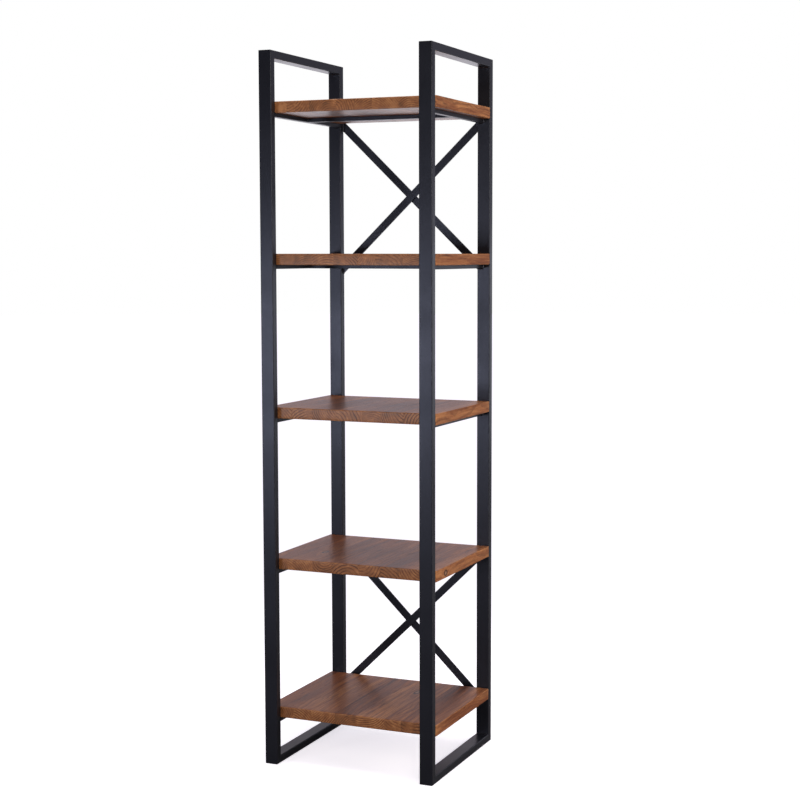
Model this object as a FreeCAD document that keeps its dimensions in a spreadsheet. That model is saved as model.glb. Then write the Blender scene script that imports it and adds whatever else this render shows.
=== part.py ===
# Tall open bookcase: two steel side frames, five solid-wood shelves on steel rails, and two crossed
# braces at the back. Millimetres. The origin is on the floor under the middle of the bookcase,
# +Z is up, the front faces -Y and +X is the right-hand side seen from the front.
import FreeCAD, Part
import Sketcher
import os

doc = FreeCAD.newDocument("Bookcase")
dims = doc.addObject("Spreadsheet::Sheet", "Dims")

# Driving dimensions, each kept in its own cell under its own alias.
driving_dimensions = {
    "frame_height": 1800,
    "frame_width": 465,          # outside of the left frame to outside of the right frame
    "frame_depth": 405,
    "tube_face": 35,             # rectangular frame tube: the wide side, seen from the front
    "tube_depth": 20,
    "tube_wall": 1.5,
    "tube_corner": 2,
    "first_shelf_top": 146,      # from the floor to the top of the lowest board
    "shelf_pitch": 385,
    "top_pitch": 375,            # between the two highest boards
    "board_thick": 28,
    "board_overhang": 1.5,       # each board end stands this far outside the frame
    "board_gap": 1.2,            # between a board and the uprights before and behind it
    "board_edge_round": 2,
    "board_corner_round": 5,
    "rail_wide": 16,             # small rectangular tube under the boards
    "rail_high": 10,
    "rail_wall": 1.2,
    "rail_corner": 1,
    "brace_wide": 20,            # flat bar
    "brace_thick": 4,
    "upper_brace_drop": 8,       # the upper rising bar is welded this much lower than the other
    "screw_shank": 3.5,
    "screw_bite": 16,            # length of a screw's thread inside the board
    "screw_tip": 3,
    "screw_point": 0.7,          # diameter at the end of the tip
    "screw_head": 8,
    "screw_head_high": 2.4,
    "screw_clearance": 4.5,      # hole in a rail's upper wall
    "screw_access": 9,           # hole in its lower wall, through which the head passes
    "screw_inset": 60,           # from a rail's end to its screw
}
for row, (alias, size) in enumerate(driving_dimensions.items(), start=1):
    dims.set("A%d" % row, alias.replace("_", " "))
    dims.set("B%d" % row, str(size))
    dims.setAlias("B%d" % row, alias)
doc.recompute()

shelf_count = 5
mirror_sides = {"left": -1, "right": 1}
sub_parts = []

# Heights and places that several pieces share, as expressions on the sheet.
inner_half_width = "(Dims.frame_width / 2 - Dims.tube_face)"
tube_centre_x = "(Dims.frame_width - Dims.tube_face) / 2"
rail_centre_x = inner_half_width + " + Dims.rail_wide / 2"
half_depth = "Dims.frame_depth / 2"
rail_length = "(Dims.frame_depth - 2 * Dims.tube_depth)"
pilot_depth = "Dims.screw_bite + Dims.screw_tip"

# Outside width and height, wall and corner radius of each tube.
frame_section = ("Dims.tube_face", "Dims.tube_depth", "Dims.tube_wall", "Dims.tube_corner")
side_rail_section = ("Dims.rail_wide", "Dims.rail_high", "Dims.rail_wall", "Dims.rail_corner")
cross_rail_section = ("Dims.rail_high", "Dims.rail_wide", "Dims.rail_wall", "Dims.rail_corner")


def shelf_top(number):
    """Height of the top of board 1 (highest) to 5 (lowest)."""
    steps = shelf_count - max(number, 2)
    height = "Dims.first_shelf_top + %d * Dims.shelf_pitch" % steps
    if number == 1:
        height += " + Dims.top_pitch"
    return "(" + height + ")"


def underside(number):
    return "(" + shelf_top(number) + " - Dims.board_thick)"


def number_of(expression):
    """The number that an expression on the sheet comes to."""
    return float(dims.evalExpression(expression))


def new_body(label):
    body = doc.addObject("PartDesign::Body", label)
    body.Label = label
    sub_parts.append(body)
    return body


def place(item, x="0", y="0", z="0", axis=(0, 0, 1), angle=0):
    """Turn an item about an axis through its own origin, then move that origin to x, y, z."""
    turn = FreeCAD.Rotation(FreeCAD.Vector(*axis), angle)
    item.Placement = FreeCAD.Placement(FreeCAD.Vector(0, 0, 0), turn)
    item.setExpression("Placement.Base.x", x)
    item.setExpression("Placement.Base.y", y)
    item.setExpression("Placement.Base.z", z)


def new_sketch(body, plane_role, name):
    sketch = body.newObject("Sketcher::SketchObject", name)
    plane = [item for item in body.Origin.OriginFeatures if item.Role == plane_role][0]
    sketch.AttachmentSupport = [(plane, "")]
    sketch.MapMode = "FlatFace"
    return sketch


def tie_point(sketch, geometry, end, x, y):
    """Hold one point of a sketch at x, y from its origin, both bound to the sheet."""
    for axis, expression in (("DistanceX", x), ("DistanceY", y)):
        name = "%s_%d_%d" % (axis, geometry, end)
        distance = Sketcher.Constraint(axis, -1, 1, geometry, end, number_of(expression))
        sketch.renameConstraint(sketch.addConstraint(distance), name)
        sketch.setExpression("Constraints." + name, expression)


def draw_outline(sketch, corners):
    """A closed outline of straight sides through corners given as pairs of expressions."""
    points = [FreeCAD.Vector(number_of(x), number_of(y), 0) for x, y in corners]
    for index, start in enumerate(points):
        following = (index + 1) % len(points)
        sketch.addGeometry(Part.LineSegment(start, points[following]), False)
    for index, (x, y) in enumerate(corners):
        before = (index - 1) % len(corners)
        sketch.addConstraint(Sketcher.Constraint("Coincident", before, 2, index, 1))
        tie_point(sketch, index, 1, x, y)


def draw_rectangle(sketch, wide, high):
    """A rectangle centred on the sketch's origin."""
    x = "%s / 2" % wide
    y = "%s / 2" % high
    draw_outline(sketch, [("-" + x, "-" + y), (x, "-" + y), (x, y), ("-" + x, y)])


def draw_circle(sketch, x, y, diameter):
    centre = FreeCAD.Vector(number_of(x), number_of(y), 0)
    radius = number_of(diameter + " / 2")
    circle = sketch.addGeometry(Part.Circle(centre, FreeCAD.Vector(0, 0, 1), radius), False)
    name = "radius_%d" % circle
    sketch.renameConstraint(sketch.addConstraint(Sketcher.Constraint("Radius", circle, radius)), name)
    sketch.setExpression("Constraints." + name, diameter + " / 2")
    tie_point(sketch, circle, 3, x, y)


def pad(body, sketch, length, both_ways=False):
    feature = body.newObject("PartDesign::Pad", "Pad")
    feature.Profile = sketch
    if both_ways:
        feature.SideType = "Symmetric"
    feature.setExpression("Length", length)
    doc.recompute()
    return feature


def cut_through(body, sketch):
    """Cut a sketch right through the body, both ways."""
    feature = body.newObject("PartDesign::Pocket", "Pocket")
    feature.Profile = sketch
    feature.SideType = "Symmetric"
    feature.Type = "ThroughAll"
    check_cut(body)


def cut_one_way(body, sketch, depth=None, reverse=False):
    """Cut to one side of a sketch: to a depth, or right out of the body."""
    feature = body.newObject("PartDesign::Pocket", "Pocket")
    feature.Profile = sketch
    feature.Reversed = reverse
    if depth is None:
        feature.Type = "ThroughAll"
    else:
        feature.setExpression("Length", depth)
    check_cut(body)


def check_cut(body):
    """A cut that points away from the solid leaves its volume as it was."""
    before = body.Group[-3].Shape.Volume    # the feature before this cut and its sketch
    doc.recompute()
    if not body.Shape.Volume < before - 1:
        raise RuntimeError("a cut in %s removed nothing" % body.Label)


def round_edges(body, base, radius, wanted):
    """Round the edges of a feature for which wanted(edge) is true."""
    names = ["Edge%d" % (i + 1) for i, edge in enumerate(base.Shape.Edges) if wanted(edge)]
    feature = body.newObject("PartDesign::Fillet", "Round")
    feature.Base = (base, names)
    feature.setExpression("Radius", radius)
    doc.recompute()
    return feature


def runs_along_z(edge):
    box = edge.BoundBox
    return box.ZLength > 1 and box.XLength < 0.01 and box.YLength < 0.01


def lies_level(edge):
    return edge.BoundBox.ZLength < 0.01


def hollow_bar(label, length, wide, deep, wall, corner):
    """Rectangular tube from z = 0 to its length, centred on the z axis."""
    body = new_body(label)
    outside = new_sketch(body, "XY_Plane", "Outside")
    draw_rectangle(outside, wide, deep)
    bar = pad(body, outside, length)
    round_edges(body, bar, corner, runs_along_z)
    inside = new_sketch(body, "XY_Plane", "Inside")
    draw_rectangle(inside, "(%s - 2 * %s)" % (wide, wall), "(%s - 2 * %s)" % (deep, wall))
    cut_through(body, inside)
    return body


def frame_tube(label, length):
    """Frame tube with both ends mitred, so that its +Y side is the short, inner side."""
    body = hollow_bar(label, length, *frame_section)
    half = "Dims.tube_depth / 2"
    full = "Dims.tube_depth"
    lower = new_sketch(body, "YZ_Plane", "LowerMitre")
    draw_outline(lower, [("-" + full, "-" + half), (full, "-" + half), (full, full + " + " + half)])
    cut_through(body, lower)
    upper = new_sketch(body, "YZ_Plane", "UpperMitre")
    top = length + " + " + half
    draw_outline(upper, [("-" + full, top), (full, top), (full, "%s - %s - %s" % (length, full, half))])
    cut_through(body, upper)
    return body


def side_frame(side):
    """Two uprights and two crosspieces, mitred and welded into one closed frame."""
    x = "%d * %s" % (mirror_sides[side], tube_centre_x)
    y = "(Dims.frame_depth - Dims.tube_depth) / 2"
    front = frame_tube(side + "_front_upright", "Dims.frame_height")
    place(front, x, "-" + y)
    back = frame_tube(side + "_back_upright", "Dims.frame_height")
    place(back, x, y, "0", (0, 0, 1), 180)
    top = frame_tube(side + "_top_rail", "Dims.frame_depth")
    place(top, x, "-" + half_depth, "Dims.frame_height - Dims.tube_depth / 2", (1, 0, 0), -90)
    bottom = frame_tube(side + "_bottom_rail", "Dims.frame_depth")
    place(bottom, x, half_depth, "Dims.tube_depth / 2", (1, 0, 0), 90)


def drill_rail(body, name, diameter, reverse):
    """Two holes in one wall of a side rail, near its ends."""
    holes = new_sketch(body, "XZ_Plane", name)
    for along in ("Dims.screw_inset", rail_length + " - Dims.screw_inset"):
        draw_circle(holes, "0", along, diameter)
    cut_one_way(body, holes, reverse=reverse)


def side_rail(side, number):
    """Rail welded between a front and a back upright; its screws' heads sit inside it."""
    label = "%s_shelf_rail_%d" % (side, number)
    body = hollow_bar(label, rail_length, *side_rail_section)
    drill_rail(body, "LowerHoles", "Dims.screw_access", False)
    drill_rail(body, "UpperHoles", "Dims.screw_clearance", True)
    x = "%d * (%s)" % (mirror_sides[side], rail_centre_x)
    z = underside(number) + " - Dims.rail_high / 2"
    place(body, x, "-" + rail_length + " / 2", z, (1, 0, 0), -90)


def cross_rail(number):
    """Rail from the left side rail to the right one, under the middle of the board."""
    length = "2 * " + inner_half_width
    label = "cross_rail_%d" % number
    body = hollow_bar(label, length, *cross_rail_section)
    z = underside(number) + " - Dims.rail_high / 2"
    place(body, "-" + inner_half_width, "0", z, (0, 1, 0), 90)


def screw_places():
    """Where the four screws of one shelf stand, as pairs of expressions."""
    y = "(%s / 2 - Dims.screw_inset)" % rail_length
    x = "(%s)" % rail_centre_x
    return [(a + x, b + y) for a in ("-", "") for b in ("-", "")]


def shelf_board(number):
    """Solid board with eased edges, rounded corners and pilot holes for its screws."""
    body = new_body("shelf_board_%d" % number)
    outline = new_sketch(body, "XY_Plane", "Outline")
    wide = "(Dims.frame_width + 2 * Dims.board_overhang)"
    deep = "(%s - 2 * Dims.board_gap)" % rail_length
    draw_rectangle(outline, wide, deep)
    slab = pad(body, outline, "Dims.board_thick")
    cornered = round_edges(body, slab, "Dims.board_corner_round", runs_along_z)
    round_edges(body, cornered, "Dims.board_edge_round", lies_level)
    pilots = new_sketch(body, "XY_Plane", "PilotHoles")
    for x, y in screw_places():
        draw_circle(pilots, x, y, "Dims.screw_shank")
    cut_one_way(body, pilots, pilot_depth, reverse=True)
    place(body, "0", "0", underside(number))


def shelf_screws(number):
    """The four pan-head screws that hold one board, driven up through its side rails."""
    screws = []
    for corner, (x, y) in enumerate(screw_places()):
        name = "screw_%d_%d" % (number, corner)
        head = doc.addObject("Part::Cylinder", name + "_head")
        head.setExpression("Radius", "Dims.screw_head / 2")
        head.setExpression("Height", "Dims.screw_head_high")
        shank = doc.addObject("Part::Cylinder", name + "_shank")
        shank.setExpression("Radius", "Dims.screw_shank / 2")
        shank.setExpression("Height", "Dims.rail_wall + Dims.screw_bite")
        tip = doc.addObject("Part::Cone", name + "_tip")
        tip.setExpression("Radius1", "Dims.screw_shank / 2")
        tip.setExpression("Radius2", "Dims.screw_point / 2")
        tip.setExpression("Height", "Dims.screw_tip")
        seat = underside(number) + " - Dims.rail_wall"
        place(head, x, y, seat + " - Dims.screw_head_high")
        place(shank, x, y, seat)
        place(tip, x, y, underside(number) + " + Dims.screw_bite")
        screw = doc.addObject("Part::MultiFuse", name)
        screw.Shapes = [head, shank, tip]
        screws.append(screw)
    group = doc.addObject("Part::Compound", "shelf_screws_%d" % number)
    group.Label = "shelf_screws_%d" % number
    group.Links = screws
    sub_parts.append(group)


def brace(label, left_end, right_end, y):
    """Flat bar between the inner sides of the back uprights; its ends are heights at their middle."""
    body = new_body(label)
    slope = "((%s - %s) / (2 * %s))" % (right_end, left_end, inner_half_width)
    half_cut = "Dims.brace_wide * sqrt(1 + %s * %s) / 2" % (slope, slope)
    outline = new_sketch(body, "XZ_Plane", "Outline")
    draw_outline(outline, [
        ("-" + inner_half_width, "%s - %s" % (left_end, half_cut)),
        (inner_half_width, "%s - %s" % (right_end, half_cut)),
        (inner_half_width, "%s + %s" % (right_end, half_cut)),
        ("-" + inner_half_width, "%s + %s" % (left_end, half_cut)),
    ])
    pad(body, outline, "Dims.brace_thick", both_ways=True)
    place(body, "0", y)


def crossed_braces(name, upper_shelf, lower_shelf, drop="0"):
    """Two bars that cross one behind the other, the rear one level with the back of the frame."""
    high = "(%s - Dims.rail_high / 2)" % underside(upper_shelf)
    low = "(%s - Dims.rail_high / 2)" % underside(lower_shelf)
    dropped = ["(%s - %s)" % (height, drop) for height in (low, high)]
    brace(name + "_brace_rising", *dropped, half_depth + " - 1.5 * Dims.brace_thick")
    brace(name + "_brace_falling", high, low, half_depth + " - 0.5 * Dims.brace_thick")


def check_and_write():
    """Stop on any failed object or bad shape, then write one STEP file for each sub-part."""
    doc.recompute()
    for item in doc.Objects:
        if "Invalid" in item.State or "Error" in item.State:
            raise RuntimeError("%s did not build: %s" % (item.Label, item.State))
    for item in sub_parts:
        if item.Shape.isNull() or not item.Shape.isValid():
            raise RuntimeError("%s has no valid shape" % item.Label)
    os.makedirs("parts", exist_ok=True)
    for item in sub_parts:
        item.Shape.exportStep("parts/%s.step" % item.Label)
        box = item.Shape.BoundBox
        sizes = (box.XLength, box.YLength, box.ZLength, item.Shape.Volume / 1000)
        print("%-24s %8.1f %8.1f %8.1f mm %9.1f cm3" % ((item.Label,) + sizes))
    print(len(sub_parts), "sub-parts")


for side in mirror_sides:
    side_frame(side)
for number in range(1, shelf_count + 1):
    for side in mirror_sides:
        side_rail(side, number)
    cross_rail(number)
    shelf_board(number)
    shelf_screws(number)
crossed_braces("upper", 1, 2, "Dims.upper_brace_drop")
crossed_braces("lower", 4, 5)
check_and_write()
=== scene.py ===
import bpy
import bmesh
import math
import random
from mathutils import Matrix, Vector, noise


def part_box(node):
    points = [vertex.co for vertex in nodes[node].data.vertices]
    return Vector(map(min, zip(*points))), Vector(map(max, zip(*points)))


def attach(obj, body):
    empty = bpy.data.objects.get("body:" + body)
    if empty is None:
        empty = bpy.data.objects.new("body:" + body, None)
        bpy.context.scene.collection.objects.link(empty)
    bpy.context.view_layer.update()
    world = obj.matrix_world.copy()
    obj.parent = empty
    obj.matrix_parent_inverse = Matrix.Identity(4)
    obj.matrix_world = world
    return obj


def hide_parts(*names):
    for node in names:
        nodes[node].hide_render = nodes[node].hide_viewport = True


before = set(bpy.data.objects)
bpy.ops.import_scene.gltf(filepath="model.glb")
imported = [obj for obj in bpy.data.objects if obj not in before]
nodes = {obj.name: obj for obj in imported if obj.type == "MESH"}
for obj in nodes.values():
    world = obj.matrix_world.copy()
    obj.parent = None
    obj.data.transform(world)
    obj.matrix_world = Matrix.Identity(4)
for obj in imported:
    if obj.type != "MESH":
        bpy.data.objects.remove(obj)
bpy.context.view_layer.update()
mm = 0.001

# Camera: standing a little to the right of the bookcase, at eye level
camera = {
    "place": (1.7065, -3.6955, 1.3043),
    "turn": 22.60,          # degrees to the left of straight ahead
    "tilt": 5.311,          # degrees down
    "lens": 71.44,
    "sideShift": -0.05,
}


def setCamera():
    data = bpy.data.cameras.new("camera")
    data.lens = camera["lens"]
    data.shift_x = camera["sideShift"]
    shot = bpy.data.objects.new("camera", data)
    shot.location = camera["place"]
    shot.rotation_euler = (math.radians(90 - camera["tilt"]), 0, math.radians(camera["turn"]))
    bpy.context.scene.collection.objects.link(shot)
    bpy.context.scene.camera = shot


# Shader building: a Wire is one socket that can be used in sums, a Finish is one material or the world
class Wire:
    def __init__(self, finish, socket):
        self.finish = finish
        self.socket = socket

    def sum(self, operation, first, second):
        kind = "ShaderNodeVectorMath" if self.socket.type == "VECTOR" else "ShaderNodeMath"
        return self.finish.add(kind, {"operation": operation}, {0: first, 1: second})

    def __add__(self, other):
        return self.sum("ADD", self, other)

    __radd__ = __add__

    def __sub__(self, other):
        return self.sum("SUBTRACT", self, other)

    def __rsub__(self, other):
        return self.sum("SUBTRACT", other, self)

    def __mul__(self, other):
        return self.sum("MULTIPLY", self, other)

    __rmul__ = __mul__

    def __truediv__(self, other):
        return self.sum("DIVIDE", self, other)

    def __pow__(self, other):
        return self.sum("POWER", self, other)


class Finish:
    def __init__(self, owner, shader="Principled BSDF"):
        owner.use_nodes = True
        self.owner = owner
        self.tree = owner.node_tree
        self.shader = self.tree.nodes[shader]

    def add(self, kind, settings=None, inputs=None, output=0):
        node = self.tree.nodes.new(kind)
        for key, value in (settings or {}).items():
            if key == "stops":
                self.setStops(node.color_ramp, value)
            else:
                setattr(node, key, value)
        for key, value in (inputs or {}).items():
            self.plug(node.inputs[key], value)
        return Wire(self, node.outputs[output])

    def setStops(self, ramp, stops):
        while len(ramp.elements) < len(stops):
            ramp.elements.new(1)
        for element, (place, colour) in zip(ramp.elements, stops):
            element.position = place
            element.color = (*colour, 1)

    def plug(self, socket, value):
        if isinstance(value, Wire):
            self.tree.links.new(value.socket, socket)
        elif socket.type == "VECTOR" and isinstance(value, (int, float)):
            socket.default_value = (value, value, value)
        elif socket.type == "RGBA":
            socket.default_value = (*value, 1)
        else:
            socket.default_value = value

    def place(self):
        return self.add("ShaderNodeTexCoord", output="Object")

    def parts(self, vector):
        return [self.add("ShaderNodeSeparateXYZ", inputs={0: vector}, output=i) for i in range(3)]

    def noise(self, vector, scale, detail=3, roughness=0.5):
        inputs = {"Vector": vector, "Scale": scale, "Detail": detail, "Roughness": roughness}
        return self.add("ShaderNodeTexNoise", {"noise_dimensions": "3D"}, inputs, "Fac")

    def steps(self, value, low, high):
        inputs = {"Value": value, "From Min": low, "From Max": high}
        return self.add("ShaderNodeMapRange", {"interpolation_type": "SMOOTHSTEP"}, inputs)

    def least(self, first, second):
        return self.add("ShaderNodeMath", {"operation": "MINIMUM"}, {0: first, 1: second})

    def blend(self, mask, first, second, mode="MIX"):
        settings = {"data_type": "RGBA", "blend_type": mode}
        return self.add("ShaderNodeMix", settings, {0: mask, 6: first, 7: second}, 2)

    def bump(self, height, depth, strength=1.0):
        return self.add("ShaderNodeBump", inputs={"Height": height, "Distance": depth, "Strength": strength})

    def shade(self, values):
        for key, value in values.items():
            self.plug(self.shader.inputs[key], value)
        return self.owner


# Black powder coat on all the steel
coat = {
    "deep": (0.0040, 0.0040, 0.0054),
    "lifted": (0.0075, 0.0075, 0.0102),
    "speck": (0.05, 0.05, 0.055),
    "sheen": (0.77, 0.81, 1.0),
    "roughness": 0.33,
    "cloudScale": 9,         # soft unevenness, patches per metre
    "speckScale": 1900,      # grains of powder
    "peelScale": 420,        # orange peel
    "peelDepth": 0.05 * mm,
}


def powderCoat(name, lift=0.0):
    # lift makes the coat a little rougher
    finish = Finish(bpy.data.materials.new(name))
    place = finish.place()
    cloud = finish.noise(place, coat["cloudScale"], 4)
    fine = finish.noise(place, coat["peelScale"], 2)
    speck = finish.steps(finish.noise(place, coat["speckScale"], 1), 0.70, 0.78)
    colour = finish.blend(cloud, coat["deep"], coat["lifted"])
    colour = finish.blend(speck * 0.35, colour, coat["speck"])
    rough = coat["roughness"] + lift + (cloud - 0.5) * 0.16 + (fine - 0.5) * 0.10
    height = fine + speck * 0.4
    return finish.shade({
        "Base Color": colour,
        "Roughness": rough,
        "Specular Tint": coat["sheen"],
        "Normal": finish.bump(height, coat["peelDepth"]),
    })


def coatSteel(steel, steelRail):
    # the small rails and the screws have the rougher coat
    for name, node in nodes.items():
        if "board" in name:
            continue
        small = "shelf_rail" in name or "cross" in name or "screw" in name
        for slot in node.material_slots:
            slot.material = steelRail if small else steel


# Solid wood: growth rings round a heart that lies along each stave, fibres, pores, knots and a satin varnish
wood = {
    "dark": (0.085, 0.022, 0.006),
    "mid": (0.275, 0.086, 0.027),
    "light": (0.540, 0.225, 0.082),
    "ringLine": (0.050, 0.014, 0.006),
    "endGrain": (0.440, 0.195, 0.074),
    "edgeWearAndHighlight": (0.560, 0.270, 0.110),       # painted highlight along the rounded edges, mixed with varnish rubbed thin there
    "knotCore": (0.360, 0.190, 0.110),
    "knotRim": (0.030, 0.010, 0.005),
    "ringPitch": 6.4 * mm,
    "lateWood": (0.46, 0.90),            # where in a ring the dark wood sets in, and is full
    "ringEdge": (0.94, 1.0),             # where the ring ends
    "roughness": 0.40,
    "poreDepth": 0.10 * mm,
    "patterns": {            # noise drawn out along the grain: stretch, scale, detail, roughness
        "fibre": (0.022, 900, 3, 0.6),
        "streak": (0.055, 95, 3, 0.6),
        "line": (0.040, 270, 2, 0.6),
        "band": (0.11, 26, 2, 0.5),
        "pores": (0.035, 1500, 1, 0.5),
        "flecks": (0.14, 75, 2, 0.5),
    },
    "knots": (               # board, place from the middle of its top, and size, in mm
        (4, (234, -121, -15), (9, 11, 8)),
        (4, (-128, -60, 0), (7, 16, 9)),
        (5, (72, 75, 0), (8, 19, 9)),
        (3, (-180, 20, 0), (6, 14, 8)),
    ),
}


def nearestKnot(finish, place):
    # distance from the nearest knot's middle in knot sizes, less than 1 inside it
    nearest = 9.0
    for number, offset, size in wood["knots"]:
        low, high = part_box("shelf_board_%d" % number)
        top = Vector(((low.x + high.x) / 2, (low.y + high.y) / 2, high.z))
        stretched = (place - tuple(top + Vector(offset) * mm)) / tuple(part * mm for part in size)
        away = finish.add("ShaderNodeVectorMath", {"operation": "LENGTH"}, {0: stretched}, "Value")
        nearest = finish.least(nearest, away)
    return nearest


def growthRings(finish, place, own, age, nearKnot):
    # the dark late wood of each ring round the stave's heart, and how strongly it shows
    heart = finish.add("ShaderNodeAttribute", {"attribute_name": "heart"}, output="Vector")
    wander = finish.noise(own * (3.0, 2.2, 3.0), 2, 3)
    wobble = finish.noise(own * (34.0, 5.0, 34.0), 1, 3)
    x, y, z = finish.parts(place - heart)
    x = x + (wander - 0.5) * 0.060 + nearKnot * 0.008
    z = z + (wander - 0.5) * 0.020 + nearKnot * 0.006
    away = (x * x + z * z) ** 0.5 + (wobble - 0.5) * 0.006
    turns = away / (age * wood["ringPitch"])
    ring = finish.add("ShaderNodeMath", {"operation": "FRACT"}, {0: turns})
    late = finish.steps(ring, *wood["lateWood"]) * (1 - finish.steps(ring, *wood["ringEdge"]))
    strength = finish.steps(finish.noise(own * (26.0, 3.0, 26.0), 1, 2), 0.28, 0.66)
    return late, strength


def alongGrain(finish, grain, name):
    stretch, scale, detail, roughness = wood["patterns"][name]
    return finish.noise(grain * (1.0, stretch, 1.0), scale, detail, roughness)


def boardWood(name):
    finish = Finish(bpy.data.materials.new(name))
    place = finish.place()
    tint = finish.add("ShaderNodeAttribute", {"attribute_name": "tint"}, output="Vector")
    edge = finish.add("ShaderNodeAttribute", {"attribute_name": "edge"}, output="Fac")
    tone, age, shift = finish.parts(tint)
    own = place + finish.add("ShaderNodeCombineXYZ", inputs={0: shift, 1: shift * 3.1, 2: shift * 7.7})
    knot = nearestKnot(finish, place)
    nearKnot = 1 - finish.steps(knot, 0.8, 3.6)
    late, strength = growthRings(finish, place, own, age, nearKnot)

    bend = (finish.noise(own * (5.0, 4.0, 5.0), 1, 2) - 0.5) * 0.035 + nearKnot * 0.010
    grain = own + finish.add("ShaderNodeCombineXYZ", inputs={0: bend, 2: bend * 0.6})
    fibre = alongGrain(finish, grain, "fibre")
    streak = alongGrain(finish, grain, "streak")
    line = alongGrain(finish, grain, "line")
    band = alongGrain(finish, grain, "band")
    pores = finish.steps(alongGrain(finish, grain, "pores"), 0.60, 0.70)
    flecks = finish.steps(alongGrain(finish, grain, "flecks"), 0.62, 0.74)
    blotch = finish.noise(own, 48, 3, 0.6)
    patchy = finish.steps(finish.noise(place, 60, 3), 0.35, 0.65)
    normal = finish.add("ShaderNodeNewGeometry", output="Normal")
    facing = finish.add("ShaderNodeVectorMath", {"operation": "ABSOLUTE"}, {0: normal}, "Vector")
    sideways, endways = finish.parts(facing)[:2]
    end = finish.steps(endways, 0.55, 0.9)

    body = tone + (streak - 0.5) * 1.1 + (line - 0.5) * 0.6 + (band - 0.5) * 0.9
    body = body + end * (blotch - 0.5) * 1.2
    stops = [(0.05, wood["dark"]), (0.5, wood["mid"]), (0.95, wood["light"])]
    colour = finish.add("ShaderNodeValToRGB", {"stops": stops}, {0: body})
    colour = finish.blend(end * 0.40, colour, wood["endGrain"])
    colour = finish.blend(late * strength * (0.42 + end * 0.50), colour, wood["ringLine"])
    colour = finish.blend(pores * 0.30 + (fibre - 0.5) * 0.45, colour, wood["dark"])
    colour = finish.blend(flecks * (1 - end) * 0.75, colour, wood["dark"])
    # rounded edges made lighter in patches: a painted highlight where the eased edges catch light, together
    # with rubbed varnish
    colour = finish.blend(edge * patchy * 0.45, colour, wood["edgeWearAndHighlight"])
    inKnot = 1 - finish.steps(knot, 0.75, 1.15)
    knotRing = finish.steps(knot, 0.40, 0.62) * (1 - finish.steps(knot, 0.85, 1.20))
    colour = finish.blend(inKnot * 0.8, colour, wood["knotCore"])
    colour = finish.blend(knotRing * 0.9, colour, wood["knotRim"])

    height = 1 - pores * 0.6 - late * 0.25 - fibre * 0.35
    rough = wood["roughness"] + end * 0.02 + sideways * 0.22 + pores * 0.15
    rough = rough + (streak - 0.5) * 0.14 + edge * 0.06
    return finish.shade({
        "Base Color": colour,
        "Roughness": rough,
        "Normal": finish.bump(height, wood["poreDepth"]),
        "Specular IOR Level": 0.36,
        "Coat Weight": (1 - sideways) * 0.14,
        "Coat Roughness": 0.25,
    })


# Mesh helpers
def newPiece(name, points, faces, material, smooth=True):
    mesh = bpy.data.meshes.new(name)
    mesh.from_pydata(points, [], faces)
    mesh.validate()
    mesh.polygons.foreach_set("use_smooth", [smooth] * len(mesh.polygons))
    mesh.materials.append(material)
    piece = bpy.data.objects.new(name, mesh)
    bpy.context.scene.collection.objects.link(piece)
    return piece


def addTube(points, faces, rows):
    # closed skin through rings of points, with flat ends; every ring has as many points as the last
    first = len(points)
    count = len(rows[0])
    for row in rows:
        points.extend(row)
    for row in range(len(rows) - 1):
        for i in range(count):
            a = first + row * count + i
            b = first + row * count + (i + 1) % count
            faces.append((a, b, b + count, a + count))
    faces.append(tuple(first + i for i in range(count))[::-1])
    faces.append(tuple(len(points) - count + i for i in range(count)))


def tubeMesh(name, rows):
    points = []
    faces = []
    addTube(points, faces, rows)
    mesh = bpy.data.meshes.new(name)
    mesh.from_pydata(points, [], faces)
    return mesh


# The five boards: staves of solid wood glued edge to edge, running from front to back
board = {
    "easing": 2.0 * mm,      # rounding of the top and bottom edges
    "corner": 5.0 * mm,      # rounding of the upright corners
    "joint": 0.05 * mm,      # hairline at each glue joint
    "wave": 0.10 * mm,       # hand-finished surface
    "depthStep": 9 * mm,
    "staveStep": 9 * mm,
    "arcSteps": 6,
    "sideSteps": 4,          # divisions of the front and back faces in height
    "cornerSteps": 8,
    "staves": {              # widths of seven from left to right, in mm; an eighth takes what is left
        1: (68, 62, 74, 50, 46, 70, 54),
        2: (56, 78, 60, 66, 48, 72, 50),
        3: (74, 58, 66, 72, 50, 62, 44),
        4: (60, 70, 54, 76, 58, 50, 64),
        5: (72, 50, 68, 58, 78, 46, 60),
    },
}


def boardSection(low, high, inset):
    # rounded outline of a board's cut in the depth and height plane, shrunk near the board's ends;
    # each point comes with how far round an edge it is, and whether it belongs to the top or bottom
    easing = board["easing"]
    front = low.y + inset[0]
    back = high.y - inset[0]
    bottom = low.z + inset[1]
    top = high.z - inset[1]
    depthSteps = round((high.y - low.y) / board["depthStep"])
    corners = ((front + easing, bottom + easing, 180), (back - easing, bottom + easing, 270),
               (back - easing, top - easing, 0), (front + easing, top - easing, 90))
    arcs = []
    for y, z, start in corners:
        arc = []
        for i in range(board["arcSteps"] + 1):
            angle = math.radians(start + 90 * i / board["arcSteps"])
            arc.append((y + easing * math.cos(angle), z + easing * math.sin(angle)))
        arcs.append(arc)
    outline = []
    for number, arc in enumerate(arcs):
        for i, (y, z) in enumerate(arc):
            outline.append((y, z, math.sin(math.pi * i / board["arcSteps"]), False))
        here = arc[-1]
        goal = arcs[(number + 1) % 4][0]
        level = number in (0, 2)
        pieces = depthSteps if level else board["sideSteps"]
        for i in range(1, pieces):
            share = i / pieces
            y = here[0] + (goal[0] - here[0]) * share
            z = here[1] + (goal[1] - here[1]) * share
            outline.append((y, z, 0.0, level))
    return outline


def endTurn(gap, radius):
    # angle already turned through by a rounding of this radius, this far from the board's end
    return math.acos(min(1.0, max(0.0, 1 - gap / radius)))


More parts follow.
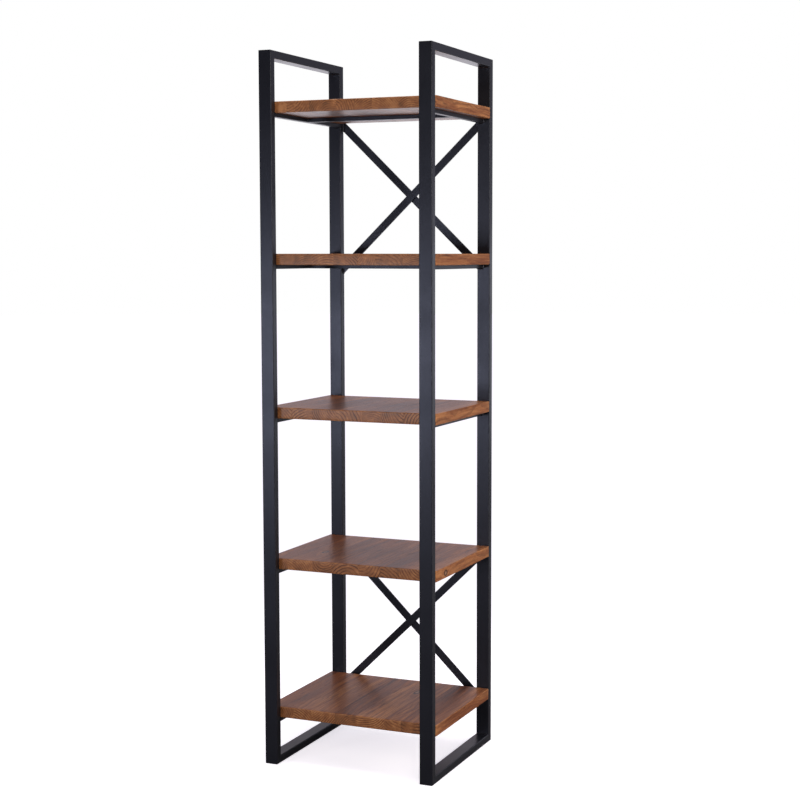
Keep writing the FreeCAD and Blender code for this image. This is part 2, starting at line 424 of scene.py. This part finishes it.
def staveStations(left, right, low, high):
    # places along x where a stave's outline is drawn, closer together at the rounded board ends
    joint = board["joint"]
    places = [left, left + joint, left + 10 * joint]
    count = max(2, round((right - left) / board["staveStep"]))
    places += [left + (right - left) * i / count for i in range(1, count)]
    places += [right - 10 * joint, right - joint, right]
    radius = board["corner"]
    for i in range(1, board["cornerSteps"] + 1):
        near = radius * (1 - math.cos(math.pi / 2 * i / board["cornerSteps"]))    # equal turns
        for place in (low.x + near, high.x - near):
            if left < place < right:
                places.append(place)
    return sorted(set(round(place, 7) for place in places))


def staveRow(number, x, atJoint, low, high, edgeMarks):
    # one ring of points round a stave; edgeMarks takes how far round an edge each point is
    gap = min(x - low.x, high.x - x)
    cornerTurn = endTurn(gap, board["corner"])
    easingTurn = endTurn(gap, board["easing"])
    inset = (board["corner"] * (1 - math.sin(cornerTurn)), board["easing"] * (1 - math.sin(easingTurn)))
    if atJoint and gap > board["corner"]:
        inset = (board["joint"], board["joint"])
    row = []
    for y, z, turned, level in boardSection(low, high, inset):
        wave = board["wave"] * noise.noise(Vector((x * 14, y * 9, z * 60 + number * 5)))
        if level:
            spot = Vector((x, y, min(max(z + wave / 2, low.z), high.z)))
        else:
            spot = Vector((x, y - math.copysign(abs(wave), y), z))
        row.append(spot)
        edgeMarks.append(max(turned, math.sin(2 * (easingTurn if level else cornerTurn))))
    return row


def makeBoard(number, material):
    low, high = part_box("shelf_board_%d" % number)
    rng = random.Random(40 + number)
    edges = [low.x]
    for width in board["staves"][number]:
        edges.append(edges[-1] + width * mm)
    edges.append(high.x)
    middle = (low.z + high.z) / 2
    points = []
    faces = []
    marks = {"heart": [], "tint": [], "edge": []}
    for left, right in zip(edges, edges[1:]):
        heart = ((left + right) / 2 + rng.uniform(-70, 70) * mm, 0,
                 middle + rng.choice((-1, 1)) * rng.uniform(12, 70) * mm)
        tint = (rng.uniform(0.32, 0.64), rng.uniform(0.75, 1.25), rng.uniform(0, 9))
        joints = (round(left, 7), round(right, 7))
        rows = [staveRow(number, x, x in joints, low, high, marks["edge"])
                for x in staveStations(left, right, low, high)]
        first = len(points)
        addTube(points, faces, rows)
        marks["heart"] += [heart] * (len(points) - first)
        marks["tint"] += [tint] * (len(points) - first)
    piece = newPiece("board_%d" % number, points, faces, material)
    for face in piece.data.polygons:
        face.use_smooth = len(face.vertices) == 4    # the cut ends of the staves stay flat
    for name in ("heart", "tint"):
        attribute = piece.data.attributes.new(name, "FLOAT_VECTOR", "POINT")
        attribute.data.foreach_set("vector", [part for value in marks[name] for part in value])
    attribute = piece.data.attributes.new("edge", "FLOAT", "POINT")
    attribute.data.foreach_set("value", marks["edge"])
    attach(piece, "root")
    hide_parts("shelf_board_%d" % number)


# Weld beads where the steel parts meet, coated over with the frame
weld = {
    "leg": 2.3 * mm,         # how far a bead reaches along each of the two faces that it joins
    "ripple": 1.4 * mm,      # from one ripple to the next
    "rise": 0.14,            # height of a ripple, as a share of the leg
    "rowsPerRipple": 4,
    "columns": 8,
    "turnFrom": -8,          # degrees from the first face to the bead's edge, and on to its other edge
    "turnThrough": 106,
    "root": 0.2 * mm,        # how far the bead's root goes into the steel
    "runIn": 1.5 * mm,       # length over which a bead fades in and out
    "beside": 2.5 * mm,      # left bare at each rounded edge of a tube
}


def weldBead(points, faces, start, end, alongA, alongB, rng):
    # one rippled bead in an inner corner; the two last vectors lie in the faces, square to the corner
    line = end - start
    rows = []
    steps = max(6, round(line.length / weld["ripple"] * weld["rowsPerRipple"]))
    late = rng.uniform(0, 1)
    for i in range(steps + 1):
        along = line.length * i / steps
        middle = start + line * (i / steps)
        fade = min(1.0, along / weld["runIn"], (line.length - along) / weld["runIn"])
        leg = weld["leg"] * (0.25 + 0.75 * math.sqrt(max(0.0, fade))) * rng.uniform(0.96, 1.04)
        row = []
        for j in range(weld["columns"]):
            turn = math.radians(weld["turnFrom"] + weld["turnThrough"] * j / (weld["columns"] - 1))
            phase = along / weld["ripple"] + 0.35 * math.sin(2 * turn) + late
            swell = 0.80 + 0.20 * abs(math.cos(2 * turn)) + weld["rise"] * abs(math.cos(math.pi * phase))
            away = alongA * math.cos(turn) + alongB * math.sin(turn)
            row.append(middle + away * leg * swell)
        row.append(middle - (alongA + alongB) * weld["root"])
        rows.append(row)
    addTube(points, faces, rows)


def beadPiece(name, beads, material, seed):
    rng = random.Random(seed)
    points = []
    faces = []
    for start, end, alongA, alongB in beads:
        weldBead(points, faces, Vector(start), Vector(end), Vector(alongA), Vector(alongB), rng)
    piece = newPiece(name, points, faces, material)
    mesh = bmesh.new()
    mesh.from_mesh(piece.data)
    bmesh.ops.recalc_face_normals(mesh, faces=mesh.faces)
    mesh.to_mesh(piece.data)
    mesh.free()
    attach(piece, "root")


def frameBeads(side):
    # in the four inner corners of one side frame
    front, back = (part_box("%s_%s_upright" % (side, place)) for place in ("front", "back"))
    top, bottom = (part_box("%s_%s_rail" % (side, place)) for place in ("top", "bottom"))
    left = front[0].x + weld["beside"]
    right = front[1].x - weld["beside"]
    beads = []
    for y, inward in ((front[1].y, 1), (back[0].y, -1)):
        for z, upward in ((top[0].z, -1), (bottom[1].z, 1)):
            beads.append(((left, y, z), (right, y, z), (0, inward, 0), (0, 0, upward)))
    return beads


def railBeads(number):
    # round the ends of one shelf's side rails and its cross rail
    beads = []
    for side, outward in (("left", -1), ("right", 1)):
        low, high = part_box("%s_shelf_rail_%d" % (side, number))
        inner, outer = (high.x, low.x) if outward < 0 else (low.x, high.x)
        for y, inward in ((low.y, 1), (high.y, -1)):
            beads.append(((outer, y, low.z), (outer, y, high.z - 1 * mm), (outward, 0, 0), (0, inward, 0)))
            start = (inner + outward * weld["beside"], y, low.z)
            beads.append((start, (outer, y, low.z), (0, 0, -1), (0, inward, 0)))
        crossLow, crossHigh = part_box("cross_rail_%d" % number)
        for y, sideways in ((crossLow.y, -1), (crossHigh.y, 1)):
            start = (inner, y, low.z + 1 * mm)
            beads.append((start, (inner, y, high.z - 1 * mm), (0, sideways, 0), (-outward, 0, 0)))
    return beads


def braceBeads(name):
    # across both ends of a flat bar, on the faces that have room for a bead
    low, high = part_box(name)
    beads = []
    for x, inward in ((low.x, 1), (high.x, -1)):
        heights = [point.co.z for point in nodes[name].data.vertices if abs(point.co.x - x) < 0.1 * mm]
        for y, outward in ((low.y, -1), (high.y, 1)):
            if outward > 0 and "falling" in name:
                continue             # this face is level with the back of the frame
            beads.append(((x, y, min(heights)), (x, y, max(heights)), (0, outward, 0), (inward, 0, 0)))
    return beads


def makeWelds(material):
    for side in ("left", "right"):
        beadPiece("welds_%s_frame" % side, frameBeads(side), material, 11)
    for number in range(1, 6):
        beadPiece("welds_shelf_%d" % number, railBeads(number), material, 20 + number)
    for name in nodes:
        if "brace" in name:
            beadPiece("welds_%s" % name, braceBeads(name), material, 31)


# Pan-head screws with a cross recess and a cut thread
screw = {
    "headHigh": 2.4 * mm,
    "domeRim": 0.9 * mm,     # straight part of the head's side
    "recessWide": 1.0 * mm,
    "recessAcross": 4.4 * mm,
    "recessDeep": 1.4 * mm,
    "recessTaper": 0.55,     # the recess's reach at its bottom, as a share of that at its top
    "rimEase": 0.15 * mm,    # easing between the head's side and its flat underside
    "axis": 0.02 * mm,       # radius that stands for a point on the screw's own axis
    "aroundHead": 48,
    "crownSteps": 8,
    "shank": 1.75 * mm,      # radius over the thread
    "pitch": 1.6 * mm,
    "threadDeep": 0.42 * mm,
    "tip": 3 * mm,
    "overlap": 0.2 * mm,     # how far the shank reaches into the head
    "around": 20,
    "rowsPerTurn": 6,
}


def ringAt(radius, z, around):
    # one level ring of a turned solid
    turns = (math.tau * i / around for i in range(around))
    return [(radius * math.cos(turn), radius * math.sin(turn), z) for turn in turns]


def crossCutter():
    # the tool that sinks a cross recess into the crown of a head
    half = screw["recessWide"] / 2
    reach = screw["recessAcross"] / 2
    outline = [(half, reach), (-half, reach), (-half, half), (-reach, half), (-reach, -half), (-half, -half),
               (-half, -reach), (half, -reach), (half, -half), (reach, -half), (reach, half), (half, half)]
    crown = -screw["headHigh"]
    rows = []
    for z, share in ((crown - 1 * mm, 1.0), (crown + screw["recessDeep"], screw["recessTaper"])):
        rows.append([(x * (share if abs(x) > half else 1), y * (share if abs(y) > half else 1), z)
                     for x, y in outline])
    mesh = tubeMesh("recess", rows)
    build = bmesh.new()
    build.from_mesh(mesh)
    bmesh.ops.recalc_face_normals(build, faces=build.faces)
    build.to_mesh(mesh)
    build.free()
    return mesh


def screwHead(radius):
    # underside at height 0, crown below it, with the recess cut up into the crown
    profile = [(screw["axis"], -screw["headHigh"])]
    for i in range(1, screw["crownSteps"] + 1):
        turn = math.pi / 2 * i / screw["crownSteps"]
        drop = (screw["headHigh"] - screw["domeRim"]) * math.cos(turn)
        profile.append((radius * math.sin(turn), -screw["domeRim"] - drop))
    profile += [(radius, -screw["rimEase"]), (radius - screw["rimEase"], 0), (screw["axis"], 0)]
    rows = [ringAt(r, z, screw["aroundHead"]) for r, z in profile]
    head = bpy.data.objects.new("screwHead", tubeMesh("screwHead", rows))
    tool = bpy.data.objects.new("recess", crossCutter())
    for item in (head, tool):
        bpy.context.scene.collection.objects.link(item)
    cut = head.modifiers.new("recess", "BOOLEAN")
    cut.object = tool
    cut.operation = "DIFFERENCE"
    cut.solver = "EXACT"
    done = bpy.data.meshes.new_from_object(head.evaluated_get(bpy.context.evaluated_depsgraph_get()))
    for item in (head, tool):
        bpy.data.objects.remove(item)
    return done


def screwShank(radius, length):
    # a thread that climbs round a core and dies out in the point
    around = screw["around"]
    rows = []
    steps = round(length / screw["pitch"] * screw["rowsPerTurn"])
    for i in range(steps + 1):
        z = length * i / steps - screw["overlap"]
        taper = min(1.0, (length - z) / screw["tip"] + 0.08)
        row = []
        for j in range(around):
            turn = j / around
            ridge = abs(((z / screw["pitch"] - turn) % 1) - 0.5) * 2
            r = radius * taper - screw["threadDeep"] * taper * (1 - ridge ** 3)
            row.append((r * math.cos(math.tau * turn), r * math.sin(math.tau * turn), z))
        rows.append(row)
    return tubeMesh("screwShank", rows)


def screwSpots(number):
    # middle of each of a shelf's four screws, read from their plain solids
    solids = {}
    for point in nodes["shelf_screws_%d" % number].data.vertices:
        solids.setdefault((point.co.x > 0, point.co.y > 0), []).append(point.co)
    spots = []
    for corner in sorted(solids):
        xs = [place.x for place in solids[corner]]
        ys = [place.y for place in solids[corner]]
        spots.append(((min(xs) + max(xs)) / 2, (min(ys) + max(ys)) / 2))
    return spots


def makeScrews(material):
    # one head and one shank, repeated at the four places of each shelf
    low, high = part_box("shelf_screws_1")
    head = screwHead(high.x - max(screwSpots(1))[0])
    shank = screwShank(screw["shank"], high.z - low.z - screw["headHigh"])
    for number in range(1, 6):
        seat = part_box("shelf_screws_%d" % number)[0].z + screw["headHigh"]
        build = bmesh.new()
        for corner, (x, y) in enumerate(screwSpots(number)):
            turned = Matrix.Rotation(0.4 + corner * 1.9 + number, 4, "Z")
            for part in (head, shank):
                before = len(build.verts)
                build.from_mesh(part)
                build.verts.ensure_lookup_table()
                spot = Matrix.Translation((x, y, seat)) @ turned
                bmesh.ops.transform(build, matrix=spot, verts=build.verts[before:])
        bmesh.ops.recalc_face_normals(build, faces=build.faces)
        for face in build.faces:
            face.smooth = True
        for line in build.edges:
            line.smooth = line.calc_face_angle(math.pi) < math.radians(40)
        mesh = bpy.data.meshes.new("screws_%d" % number)
        build.to_mesh(mesh)
        build.free()
        mesh.materials.append(material)
        piece = bpy.data.objects.new("screws_%d" % number, mesh)
        bpy.context.scene.collection.objects.link(piece)
        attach(piece, "root")
        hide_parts("shelf_screws_%d" % number)


# Studio: white sweep, soft light from the front left, the top and the right
studio = {
    "floorTone": (0.93, 0.93, 0.94),
    "floorCloud": (0.88, 0.88, 0.89),
    "floorGlow": 0.70,
    "floorShade": (0.24, 0.24, 0.26),    # how light the floor is to the lamps and in reflections
    "floorHalf": 30,
    "sweepFrom": 0.9,        # where the floor starts to turn into the white sweep
    "sweepTo": 2.6,
    "backdropGlow": 1.6,     # the lit sweep on the floor far behind
    "backdropTone": (0.96, 0.93, 1.0),
    "sweepGlow": 1.08,       # the sweep as the camera sees it
    "roomLight": (0.24, 0.235, 0.25),    # the pale room all round
    "glows": (               # darker and brighter parts of the room: direction, colour, narrowness
        ((-0.40, -0.915, 0.0), (0.030, 0.030, 0.046), 0.40),
        ((-0.40, 0.915, -0.04), (0.93, 0.83, 0.93), 0.89),
        ((0.43, 0.90, 0.04), (0.31, 0.30, 0.36), 0.72),
    ),
    "lights": {              # place, point it faces, width, height, watts, colour
        "frontBox": ((-1.55, -3.3, 0.82), (0, 0, 1.0), 0.7, 0.7, 20, (0.87, 0.89, 1.0)),
        "topBox": ((0, 0.1, 3.3), (0, 0, 0.9), 2.2, 2.2, 46, (1.0, 0.97, 0.95)),
        "rightBox": ((2.8, -0.4, 0.85), (0, 0, 0.65), 1.4, 2.2, 41, (1.0, 0.94, 0.86)),
        "warmFill": ((1.3, -3.4, 1.8), (0, 0, 0.9), 1.8, 1.6, 44, (1.0, 0.92, 0.81)),
        "backRightBox": ((1.9, 3.6, 0.9), (0, 0, 1.0), 0.9, 1.1, 5, (0.88, 0.92, 1.0)),
    },
}


def setWorld():
    finish = Finish(bpy.data.worlds.new("studio"), "Background")
    bpy.context.scene.world = finish.owner
    view = finish.add("ShaderNodeTexCoord", output="Generated")
    around = studio["roomLight"]
    for direction, colour, narrowness in studio["glows"]:
        inputs = {0: view, 1: Vector(direction).normalized()}
        toward = finish.add("ShaderNodeVectorMath", {"operation": "DOT_PRODUCT"}, inputs, "Value")
        around = finish.blend(finish.steps(toward, narrowness, 1.0), around, colour)
    seen = finish.add("ShaderNodeLightPath", output="Is Camera Ray")
    finish.shade({"Color": finish.blend(seen, around, (1, 1, 1))})


def setLights():
    for name, (place, target, width, height, watts, colour) in studio["lights"].items():
        data = bpy.data.lights.new(name, "AREA")
        data.shape = "RECTANGLE"
        data.size = width
        data.size_y = height
        data.energy = watts
        data.color = colour
        light = bpy.data.objects.new(name, data)
        light.location = place
        light.rotation_euler = (Vector(target) - Vector(place)).to_track_quat("-Z", "Y").to_euler()
        light.visible_camera = False
        bpy.context.scene.collection.objects.link(light)


def setFloor():
    finish = Finish(bpy.data.materials.new("paleFloor"))
    place = finish.place()
    seen = finish.add("ShaderNodeLightPath", output="Is Camera Ray")
    away = finish.add("ShaderNodeVectorMath", {"operation": "LENGTH"}, {0: place}, "Value")
    sweep = finish.steps(away, studio["sweepFrom"], studio["sweepTo"])
    x, y = finish.parts(place)[:2]
    behind = finish.steps(y, 1.0, 4.5) * (1 - finish.steps(x * 0.915 + y * 0.40, 0.3, 3.0))
    pale = finish.blend(finish.noise(place, 3, 2) * 0.1, studio["floorTone"], studio["floorCloud"])
    pale = finish.blend(sweep, pale, (0, 0, 0))
    glow = seen * (studio["floorGlow"] + sweep * (studio["sweepGlow"] - studio["floorGlow"]))
    glow = glow / studio["backdropGlow"] + (1 - seen) * behind
    material = finish.shade({
        "Base Color": finish.blend(seen, studio["floorShade"], pale),
        "Roughness": 0.9,
        "Specular IOR Level": 0.1,
        "Emission Color": finish.blend(glow, (0, 0, 0), studio["backdropTone"]),
        "Emission Strength": studio["backdropGlow"],
    })
    rim = [(studio["floorHalf"] * math.cos(a), studio["floorHalf"] * math.sin(a), -0.0006)
           for a in (math.tau * i / 96 for i in range(96))]
    floor = newPiece("floor", rim, [tuple(range(96))], material, smooth=False)


setCamera()
print("camera set")

steel = powderCoat("powderCoat")
steelRail = powderCoat("powderCoatRails", 0.05)
wooden = boardWood("boardWood")
coatSteel(steel, steelRail)
print("steel coated")

for number in range(1, 6):
    makeBoard(number, wooden)
print("boards made")

makeWelds(steel)
print("welds laid")

makeScrews(steelRail)
print("screws driven")

bpy.context.scene.view_settings.view_transform = "Standard"
setWorld()
setLights()
setFloor()
print("studio lit")
